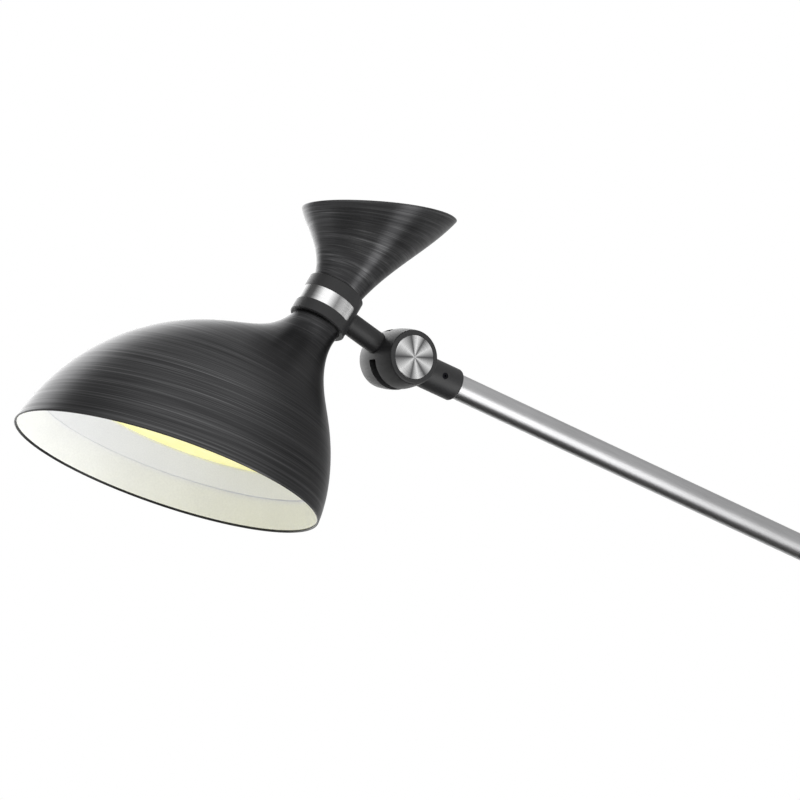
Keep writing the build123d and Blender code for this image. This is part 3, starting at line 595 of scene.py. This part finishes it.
def grown(tree, **values):
    """The plain mesh that a geometry tree makes with these named inputs."""
    owner = linked("owner", bpy.data.meshes.new("seed"))
    modifier = owner.modifiers.new("shape", "NODES")
    modifier.node_group = tree
    for item in tree.interface.items_tree:
        if item.in_out == "INPUT":
            modifier[item.identifier] = values[item.name.replace(" ", "_")]
    mesh = plain_mesh(owner)
    # The seed mesh leaves an empty slot ahead of the tree's material.
    if mesh.materials[0] is None:
        mesh.materials.pop(index=0)
    return mesh


def skewed_shade_tree(name, front_mm, back_mm, inside_out):
    """Round sections whose diameters run from the front outline to the back one, as one skin."""
    kinds = {"Around": "NodeSocketInt", "Along": "NodeSocketInt", "Skin": "NodeSocketMaterial"}
    tree, given, result = geometry_tree(name, **kinds)
    columns = math(tree, "ADD", given["Around"], 1)
    rows = math(tree, "ADD", given["Along"], 1)
    grid = add(
        tree,
        "GeometryNodeMeshGrid",
        {"Size X": 1.0, "Size Y": 1.0, "Vertices X": columns, "Vertices Y": rows},
    )
    place = add(tree, "GeometryNodeInputPosition").outputs[0]
    split = add(tree, "ShaderNodeSeparateXYZ", {"Vector": place})
    turn = math(tree, "ADD", split.outputs["X"], 0.5)
    t = math(tree, "ADD", split.outputs["Y"], 0.5)
    front = bezier_point(tree, front_mm, t)
    back = bezier_point(tree, back_mm, t)
    centre = mix_vectors(tree, 0.5, front, back)
    half = add(tree, "ShaderNodeVectorMath", {0: back, 1: centre}, operation="SUBTRACT").outputs[0]
    radius = add(tree, "ShaderNodeVectorMath", {0: half}, operation="LENGTH").outputs["Value"]
    angle = math(tree, "MULTIPLY", turn, 2 * pi)
    fore = add(
        tree,
        "ShaderNodeVectorMath",
        {0: half, "Scale": math(tree, "COSINE", angle)},
        operation="SCALE",
    ).outputs[0]
    side = add(
        tree,
        "ShaderNodeCombineXYZ",
        {1: math(tree, "MULTIPLY", radius, math(tree, "SINE", angle))},
    ).outputs[0]
    rim = add(tree, "ShaderNodeVectorMath", {0: fore, 1: side}, operation="ADD").outputs[0]
    where = add(tree, "ShaderNodeVectorMath", {0: centre, 1: rim}, operation="ADD").outputs[0]
    # The strokes' own coordinates: turns around the shade, and metres from the neck to the rim.
    length = sum((Vector(b) - Vector(a)).length for a, b in zip(front_mm[:-1], front_mm[1:]))
    down = math(tree, "MULTIPLY", t, length * MM)
    brush = add(tree, "ShaderNodeCombineXYZ", {0: turn, 1: down}).outputs[0]
    mapped = add(
        tree,
        "GeometryNodeStoreNamedAttribute",
        {"Geometry": grid.outputs["Mesh"], "Name": "UVMap", "Value": brush},
        data_type="FLOAT2",
        domain="CORNER",
    ).outputs[0]
    shaped = add(tree, "GeometryNodeSetPosition", {"Geometry": mapped, "Position": where}).outputs[0]
    joined = add(tree, "GeometryNodeMergeByDistance", {"Geometry": shaped, "Distance": 1e-6}).outputs[0]
    if inside_out:
        joined = add(tree, "GeometryNodeFlipFaces", {"Mesh": joined}).outputs[0]
    close_tree(tree, result, joined, given["Skin"])
    return tree


INSIDE = 1  # the enamel's place among a shade's materials
RIM = 2  # the bare rim's place
MASKED_FROM = 0.9935  # how far down the shade the enamel reaches, as a share of its length


def spun_shade(node, front_mm, back_mm, inside_out, settings, materials):
    """One shade: its skin, then the metal's thickness inwards and a softened rim."""
    tree = skewed_shade_tree(f"{node}_outline", front_mm, back_mm, inside_out)
    mesh = grown(tree, Around=settings.around, Along=settings.along, Skin=materials[0])
    for material in materials[1:]:
        mesh.materials.append(material)
    owner = linked("owner", mesh)
    wall = owner.modifiers.new("wall", "SOLIDIFY")
    wall.thickness = settings.wall
    wall.offset = -1.0
    wall.use_even_offset = True
    wall.material_offset = INSIDE
    wall.material_offset_rim = RIM
    edge = owner.modifiers.new("rim", "BEVEL")
    edge.width = settings.wall * 0.3
    edge.segments = 2
    edge.limit_method = "ANGLE"
    edge.angle_limit = radians(60.0)
    made = plain_mesh(owner)
    mask_rim(made)
    made.transform(HEAD_PLACE)
    smooth(made, radians(50.0))
    return made


def mask_rim(mesh):
    """Leaves the last ring inside the rim bare, as where the enamel was masked off."""
    uv = mesh.uv_layers["UVMap"].uv
    heights = [sum(uv[i].vector.y for i in face.loop_indices) / face.loop_total for face in mesh.polygons]
    masked_from = max(heights) * MASKED_FROM
    for face, height in zip(mesh.polygons, heights):
        if face.material_index == INSIDE and height > masked_from:
            face.material_index = RIM


class LAMP_OT_shades(Operator):
    """Makes the bell shade and the cone shade, brushed black outside and white inside"""

    bl_idname = "lamp.shades"
    bl_label = "Shades"

    def execute(self, context):
        settings = context.scene.lamp_shades
        skin = brushed_black_anodising(settings.stroke_mm)
        materials = (skin, white_enamel(), bare_anodised_rim())
        for node, front, back, inside_out in (
            ("lower_shade", SHADE_FRONT_MM, SHADE_BACK_MM, True),
            ("upper_cone", CONE_FRONT_MM, CONE_BACK_MM, False),
        ):
            mesh = spun_shade(node, front, back, inside_out, settings, materials)
            new_piece(mesh, f"{node}_skin", "head", node)
        return {"FINISHED"}


# ---------------------------------------------------------------- turned and brushed bright pieces
def turned_covers_tree():
    """Two bevelled discs back to back on the Y axis, their bright faces outwards."""
    kinds = {
        "Radius": "NodeSocketFloat",
        "Thickness": "NodeSocketFloat",
        "Bevel": "NodeSocketFloat",
        "Span": "NodeSocketFloat",
        "Metal": "NodeSocketMaterial",
    }
    tree, given, result = geometry_tree("turned_covers", **kinds)
    disc = add(
        tree,
        "GeometryNodeMeshCylinder",
        {
            "Vertices": 128,
            "Side Segments": 2,
            "Fill Segments": 12,
            "Radius": given["Radius"],
            "Depth": given["Thickness"],
        },
        fill_type="NGON",
    )
    place = add(tree, "GeometryNodeInputPosition").outputs[0]
    split = add(tree, "ShaderNodeSeparateXYZ", {"Vector": place})
    half = math(tree, "MULTIPLY", given["Thickness"], 0.5)
    lifted = add(
        tree,
        "ShaderNodeCombineXYZ",
        {2: math(tree, "SUBTRACT", half, given["Bevel"])},
    ).outputs[0]
    middle_ring = math(tree, "COMPARE", split.outputs["Z"], 0.0, 1e-5)
    raised = add(
        tree,
        "GeometryNodeSetPosition",
        {"Geometry": disc.outputs["Mesh"], "Selection": middle_ring, "Offset": lifted},
    ).outputs[0]
    top_radius = math(tree, "SUBTRACT", given["Radius"], given["Bevel"])
    inner = math(tree, "DIVIDE", top_radius, given["Radius"])
    shrink = add(tree, "ShaderNodeCombineXYZ", {0: inner, 1: inner, 2: 1.0}).outputs[0]
    drawn_in = add(tree, "ShaderNodeVectorMath", {0: place, 1: shrink}, operation="MULTIPLY").outputs[0]
    top = math(tree, "GREATER_THAN", split.outputs["Z"], math(tree, "MULTIPLY", half, 0.99))
    bevelled = add(
        tree,
        "GeometryNodeSetPosition",
        {"Geometry": raised, "Selection": top, "Position": drawn_in},
    ).outputs[0]
    seat = math(tree, "SUBTRACT", given["Span"], half)
    near_seat = add(tree, "ShaderNodeCombineXYZ", {1: math(tree, "MULTIPLY", seat, -1.0)}).outputs[0]
    far_seat = add(tree, "ShaderNodeCombineXYZ", {1: seat}).outputs[0]
    ends = add(
        tree,
        "GeometryNodeMeshLine",
        {"Count": 2, "Start Location": near_seat, "Offset": far_seat},
        mode="END_POINTS",
    ).outputs[0]
    index = add(tree, "GeometryNodeInputIndex").outputs[0]
    tilt = math(tree, "MULTIPLY_ADD", index, -pi, pi / 2)
    facing = add(tree, "ShaderNodeCombineXYZ", {0: tilt}).outputs[0]
    both = add(
        tree,
        "GeometryNodeInstanceOnPoints",
        {"Points": ends, "Instance": bevelled, "Rotation": facing},
    ).outputs[0]
    close_tree(tree, result, both, given["Metal"])
    return tree


class LAMP_OT_bright_work(Operator):
    """Makes the turned covers on both hinges, the collar's brushed inlay and the turned button"""

    bl_idname = "lamp.bright_work"
    bl_label = "Bright work"

    def execute(self, context):
        settings = context.scene.lamp_turned
        turned = faced_aluminium(settings.groove_mm)
        tree = turned_covers_tree()
        for node, body, pivot in (
            ("head_hinge_caps", "head", HEAD_PIVOT),
            ("elbow_hinge_caps", "elbow", ELBOW_PIVOT),
        ):
            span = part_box(node)[1][1]
            mesh = grown(
                tree,
                Radius=settings.radius,
                Thickness=settings.thickness,
                Bevel=settings.bevel,
                Span=span,
                Metal=turned,
            )
            mesh.transform(Matrix.Translation(pivot))
            smooth(mesh)
            wrap_uv(mesh, pivot, Vector((0, 1, 0)), Vector((0, 0, 1)), flat=True)
            new_piece(mesh, f"{node}_turned", body, node)
        band = merged_copy("accent_band", inlay_aluminium())
        lean = HEAD_PLACE.to_3x3()
        wrap_uv(band, middle("collar"), lean @ Vector((0, 0, 1)), lean @ Vector((1, 0, 0)))
        new_piece(band, "accent_band_brushed", "head", "accent_band")
        button = merged_copy("switch_button", turned)
        wrap_uv(button, middle("switch_button"), Vector((0, 1, 0)), Vector((0, 0, 1)), flat=True)
        new_piece(button, "switch_button_turned", "button", "switch_button")
        return {"FINISHED"}


# ---------------------------------------------------------------- light module
class LAMP_OT_light_module(Operator):
    """Finishes the reflector, the glowing diffuser and what lies behind them"""

    bl_idname = "lamp.light_module"
    bl_label = "Light module"

    def execute(self, context):
        finish("light_bezel", white_reflector_plastic())
        finish("light_lens", opal_diffuser())
        finish("led_board", white_solder_mask())
        finish("led_chips", phosphor_silicone())
        finish("heat_sink", mill_aluminium())
        return {"FINISHED"}


# ---------------------------------------------------------------- castings, tubes, fasteners and base
CASTINGS = (
    "collar",
    "cone_finial",
    "head_stem",
    "head_yoke",
    "head_knuckle",
    "elbow_knuckle",
    "elbow_yoke",
    "elbow_stem",
    "top_ferrule",
    "base_ferrule",
)
FASTENERS = {
    zinc_plate: (
        "shade_nipple",
        "shade_nut",
        "shade_spacer",
        "module_bracket",
        "module_screws",
        "head_pivot_bolt",
        "head_lock_nut",
        "elbow_pivot_bolt",
        "elbow_lock_nut",
        "mast_coupler",
        "mast_stud",
        "mast_nut",
    ),
    black_oxide: ("arm_set_screws", "mast_set_screws", "swivel_stop_screw"),
    blued_spring: ("head_spring_washer", "elbow_spring_washer", "swivel_clip", "mast_lock_washer"),
    natural_nylon: ("head_friction_washers", "elbow_friction_washers"),
    white_abs: ("switch_carrier", "led_driver"),
    sintered_bronze: ("swivel_bush",),
}


class LAMP_OT_castings(Operator):
    """Finishes the black castings of the collar, stems, hinges and ferrules"""

    bl_idname = "lamp.castings"
    bl_label = "Castings"

    def execute(self, context):
        black = satin_black_casting()
        for node in CASTINGS:
            finish(node, black)
        return {"FINISHED"}


class LAMP_OT_tubes(Operator):
    """Finishes the arm's and the mast's tubes and the leads inside them"""

    bl_idname = "lamp.tubes"
    bl_label = "Tubes and leads"

    def execute(self, context):
        finish("arm_tube", satin_tube("drawn_aluminium_arm", along(ARM_RISE), (60, 1, 1)))
        upright = satin_tube("drawn_aluminium_mast")
        for node in ("mast_upper_tube", "mast_lower_tube"):
            finish(node, upright)
        pvc = pvc_jacket()
        for node in ("arm_lead", "mast_lead"):
            finish(node, pvc)
        return {"FINISHED"}


class LAMP_OT_fasteners(Operator):
    """Finishes the screws, nuts, washers, bush, bracket, driver and the switch's carrier"""

    bl_idname = "lamp.fasteners"
    bl_label = "Fasteners and fittings"

    def execute(self, context):
        for material, nodes in FASTENERS.items():
            made = material()
            for node in nodes:
                finish(node, made)
        return {"FINISHED"}


class LAMP_OT_base(Operator):
    """Finishes the base's cover, weight, pad and cord bushing"""

    bl_idname = "lamp.base"
    bl_label = "Base"

    def execute(self, context):
        finish("base_cover", textured_black_coat())
        finish("base_weight", primed_iron())
        finish("base_pad", eva_foam())
        finish("cord_gland", black_nylon())
        return {"FINISHED"}


# ---------------------------------------------------------------- studio
def heading(azimuth, elevation):
    """The unit vector at these degrees. Azimuth 0 is in front of the lamp, at -Y, and 90 is at +X."""
    a, e = radians(azimuth), radians(elevation)
    return Vector((sin(a) * cos(e), -cos(a) * cos(e), sin(e)))


def softbox(name, azimuth, elevation, distance, width, height, power, target, mirrored=True):
    """A softbox that faces the target, hidden from the camera and, unless mirrored, from gloss."""
    back = heading(azimuth, elevation)
    data = bpy.data.lights.new(name, "AREA")
    data.shape = "RECTANGLE"
    data.size = width
    data.size_y = height
    data.energy = power
    light = linked(name, data)
    light.location = target + back * distance
    light.rotation_mode = "QUATERNION"
    light.rotation_quaternion = (-back).to_track_quat("-Z", "Y")
    light.visible_camera = False
    light.visible_glossy = mirrored


def glow(tree, direction, azimuth, elevation, half_width, half_height, soft):
    """1 within a soft-edged rectangle of the surround and 0 outside it, all in degrees."""
    centre = heading(azimuth, elevation)
    side = heading(azimuth + 90, 0)
    dots = [
        add(tree, "ShaderNodeVectorMath", {0: direction, 1: axis}, operation="DOT_PRODUCT").outputs["Value"]
        for axis in (centre, side, centre.cross(side))
    ]
    mask = 1.0
    across = math(tree, "ARCTAN2", dots[1], dots[0])
    for angle, half in ((across, half_width), (math(tree, "ARCSINE", dots[2]), half_height)):
        edge = add(
            tree,
            "ShaderNodeMapRange",
            {
                "Value": math(tree, "ABSOLUTE", angle),
                "From Min": radians(half - soft),
                "From Max": radians(half + soft),
                "To Min": 1.0,
                "To Max": 0.0,
            },
            interpolation_type="SMOOTHSTEP",
        ).outputs[0]
        mask = math(tree, "MULTIPLY", mask, edge)
    return mask


def studio_world(settings):
    """A white backdrop, and a grey room with soft bright areas for light and reflections."""
    world = bpy.data.worlds.new("studio")
    world.use_nodes = True
    tree = world.node_tree
    tree.nodes.clear()
    direction = add(tree, "ShaderNodeTexCoord").outputs["Generated"]
    strength = settings.room
    # Each area's azimuth, elevation, half width, half height and softness, in degrees.
    for brightness, area in (
        (settings.key, (174, 14, 25, 30, 9)),  # tall softbox behind, to the left as the camera sees it
        (0.3, (0, 50, 50, 28, 22)),  # the ceiling's bounce in front
        (-0.4, (-125, 40, 30, 30, 20)),  # the dark wall on the left
        (-0.45, (82, 12, 46, 30, 16)),  # the dark wall on the right
    ):
        strength = math(tree, "MULTIPLY_ADD", glow(tree, direction, *area), brightness, strength)
    room = add(tree, "ShaderNodeBackground", {"Color": linear("#ffffff"), "Strength": strength}).outputs[0]
    backdrop = add(tree, "ShaderNodeBackground", {"Color": linear("#ffffff"), "Strength": 1.0}).outputs[0]
    seen = add(tree, "ShaderNodeLightPath").outputs["Is Camera Ray"]
    both = add(tree, "ShaderNodeMixShader", {0: seen, 1: room, 2: backdrop}).outputs[0]
    add(tree, "ShaderNodeOutputWorld", {"Surface": both})
    bpy.context.scene.world = world


def stage_disc(name, radius, place, material):
    """A flat round piece of the studio."""
    mesh = bpy.data.meshes.new(name)
    work = bmesh.new()
    bmesh.ops.create_circle(work, cap_ends=True, segments=96, radius=radius)
    work.to_mesh(mesh)
    work.free()
    mesh.materials.append(material)
    disc = linked(name, mesh)
    disc.location = place
    return disc


def studio_floor():
    """A plain pale floor under the lamp."""
    matt = {"Specular_IOR_Level": 0.0}
    paint = grained("matt_floor_paint", "#e8e8e7", "#eeeeed", 0.0, (0.9, 1.0), 40.0, 0.0, 900.0, **matt)
    stage_disc("studio_floor", 5.0, (0.0, 0.0, 0.0), paint)


def studio_flag():
    """A black card on the floor, there only for gloss: it gives the bright tubes a dark lower edge."""
    felt = grained("black_felt_card", "#050505", "#0a0a0a", 0.0, (0.9, 1.0), 1.0, 0.1)
    flag = stage_disc("studio_flag", 1.2, (HEAD_PIVOT.x + 0.1, 0.15, 0.004), felt)
    flag.visible_camera = False
    flag.visible_diffuse = False
    flag.visible_shadow = False


def studio_camera(settings):
    """The camera, level, on the near side of the head and a little under it."""
    a, e = settings.azimuth, settings.elevation
    back = Vector((sin(a) * cos(e), -cos(a) * cos(e), sin(e)))
    right = Vector((cos(a), sin(a), 0.0))
    up = back.cross(right)
    aim = HEAD_PIVOT + right * settings.aim_right - up * settings.aim_down
    data = bpy.data.cameras.new("camera")
    data.lens = settings.lens
    data.sensor_width = 36.0
    data.clip_end = 100.0
    camera = linked("camera", data)
    turned = Matrix((right, up, back)).transposed().to_4x4()
    camera.matrix_world = Matrix.Translation(aim + back * settings.distance) @ turned
    bpy.context.scene.camera = camera


class LAMP_OT_stage(Operator):
    """Sets the camera, the pale floor, the white surround and the softboxes"""

    bl_idname = "lamp.stage"
    bl_label = "Studio"

    def execute(self, context):
        settings = context.scene.lamp_stage
        studio_camera(settings)
        studio_world(settings)
        studio_floor()
        studio_flag()
        softbox(
            "low_front_softbox",
            azimuth=20.0,
            elevation=-38.0,
            distance=1.1,
            width=0.5,
            height=1.0,
            power=settings.low,
            target=HEAD_PIVOT,
        )
        softbox(
            "shade_fill",
            azimuth=80.0,
            elevation=-34.0,
            distance=1.0,
            width=0.6,
            height=0.6,
            power=settings.fill,
            target=middle("light_lens"),
            mirrored=False,
        )
        bpy.context.scene.view_settings.view_transform = "Standard"
        return {"FINISHED"}


# ---------------------------------------------------------------- add-on
class LAMP_PT_sidebar(Panel):
    """The floor lamp's settings and the steps that build it"""

    bl_label = "Floor lamp"
    bl_idname = "LAMP_PT_sidebar"
    bl_space_type = "VIEW_3D"
    bl_region_type = "UI"
    bl_category = "Floor lamp"

    def draw(self, context):
        for title, group in (
            ("Shades", context.scene.lamp_shades),
            ("Hinge covers", context.scene.lamp_turned),
            ("Studio", context.scene.lamp_stage),
        ):
            box = self.layout.box()
            box.label(text=title)
            for name in group.bl_rna.properties.keys():
                if name not in {"rna_type", "name"}:
                    box.prop(group, name)
        for step in STEPS:
            self.layout.operator(step.bl_idname)


STEPS = (
    LAMP_OT_shades,
    LAMP_OT_bright_work,
    LAMP_OT_light_module,
    LAMP_OT_castings,
    LAMP_OT_tubes,
    LAMP_OT_fasteners,
    LAMP_OT_base,
    LAMP_OT_stage,
)
CLASSES = (ShadeSettings, TurnedSettings, StageSettings, *STEPS, LAMP_PT_sidebar)


def register():
    for item in CLASSES:
        bpy.utils.register_class(item)
    bpy.types.Scene.lamp_shades = PointerProperty(type=ShadeSettings)
    bpy.types.Scene.lamp_turned = PointerProperty(type=TurnedSettings)
    bpy.types.Scene.lamp_stage = PointerProperty(type=StageSettings)


def unregister():
    for name in ("lamp_shades", "lamp_turned", "lamp_stage"):
        delattr(bpy.types.Scene, name)
    for item in reversed(CLASSES):
        bpy.utils.unregister_class(item)


def main():
    """Registers the add-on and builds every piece."""
    register()
    bpy.ops.lamp.shades()
    bpy.ops.lamp.bright_work()
    bpy.ops.lamp.light_module()
    bpy.ops.lamp.castings()
    bpy.ops.lamp.tubes()
    bpy.ops.lamp.fasteners()
    bpy.ops.lamp.base()
    bpy.ops.lamp.stage()


if __name__ == "__main__":
    main()
